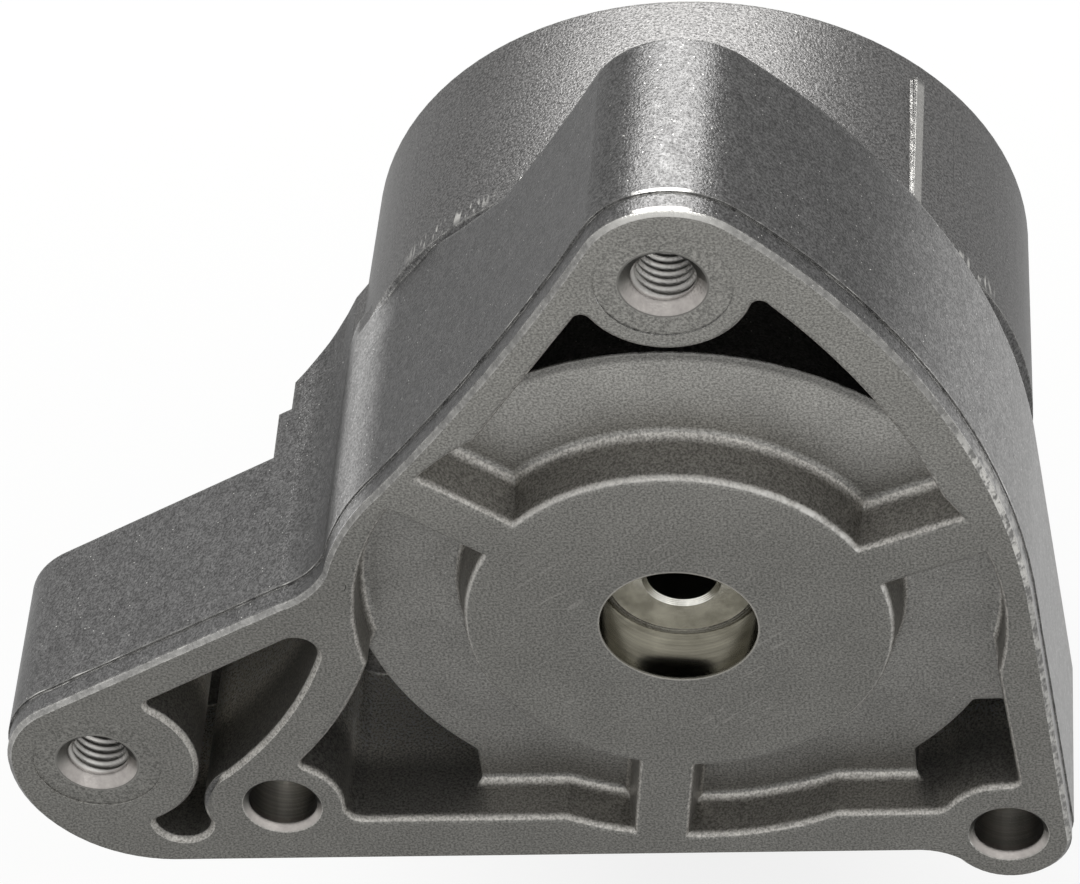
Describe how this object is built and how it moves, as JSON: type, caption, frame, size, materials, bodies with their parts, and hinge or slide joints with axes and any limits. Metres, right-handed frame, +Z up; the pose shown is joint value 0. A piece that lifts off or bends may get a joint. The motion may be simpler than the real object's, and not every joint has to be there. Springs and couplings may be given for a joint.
{
  "type": "belt tensioner",
  "caption": "Belt tensioner: cast flange and round spring housing on a hollow pivot, with a sprung arm, friction damper and idler pulley.",
  "frame": {"origin": "on the pivot axis at the machined mounting face, the centre of the pilot bore's mouth", "axes": "+Y runs along the pivot axis from the mounting face toward the arm and pulley, +Z points up to the apex fixing hole, +X to the right when looking at the mounting face"},
  "size_m": [0.1379, 0.1132, 0.163],
  "materials": {
    "cast_aluminium": "shot-blasted die casting, machined face",
    "arm_casting": "shot-blasted die casting",
    "machined_steel": "ground steel",
    "plated_steel": "zinc plated",
    "zinc_bolt": "zinc plated bolt",
    "spring_steel": "dark phosphated spring wire",
    "bearing_steel": "polished bearing steel",
    "cage_steel": "pressed cage",
    "bush_bronze": "bronze bearing bush",
    "washer_plastic": "nylon",
    "natural_plastic": "nylon",
    "black_plastic": "moulded nylon",
    "pulley_plastic": "glass-filled nylon",
    "seal_rubber": "nitrile rubber"
  },
  "bodies": {
    "base": {"base_housing": "cast_aluminium", "pivot_shaft": "machined_steel", "inner_thrust_washer": "washer_plastic", "torsion_spring": "spring_steel", "retaining_plate": "plated_steel", "pivot_cap": "black_plastic"},
    "arm": {"tension_arm": "arm_casting", "pivot_bushing": "bush_bronze", "spring_sleeve": "natural_plastic", "damper_band": "plated_steel", "damper_shoe": "natural_plastic", "dust_seal": "seal_rubber", "outer_thrust_washer": "washer_plastic", "pulley_spacer": "plated_steel", "pulley_bolt": "zinc_bolt", "bearing_inner_ring": "bearing_steel"},
    "pulley": {"pulley": "pulley_plastic", "bearing_outer_ring": "bearing_steel", "bearing_seal_near": "seal_rubber", "bearing_seal_far": "seal_rubber", "dust_cap": "black_plastic"},
    "cage": {"bearing_cage": "cage_steel", "bearing_ball_1": "bearing_steel", "bearing_ball_2": "bearing_steel", "bearing_ball_3": "bearing_steel", "bearing_ball_4": "bearing_steel", "bearing_ball_5": "bearing_steel", "bearing_ball_6": "bearing_steel", "bearing_ball_7": "bearing_steel", "bearing_ball_8": "bearing_steel"}
  },
  "joints": [
    {"name": "arm_pivot", "type": "hinge", "parent": "base", "child": "arm", "pos_m": [0, 0, 0], "axis": [0, 1, 0], "range_deg": [0, 35], "stiffness_Nm_per_rad": 28.6, "springref_deg": -29.79, "deforming": ["torsion_spring"]},
    {"name": "pulley_spin", "type": "hinge", "parent": "arm", "child": "pulley", "pos_m": [-0.00777, 0.097, -0.05748], "axis": [0, 1, 0], "continuous": true},
    {"name": "cage_spin", "type": "hinge", "parent": "arm", "child": "cage", "pos_m": [-0.00777, 0.097, -0.05748], "axis": [0, 1, 0], "continuous": true}
  ],
  "couplings": [
    {"joint": "cage_spin", "follows": "pulley_spin", "ratio": 0.6182}
  ]
}
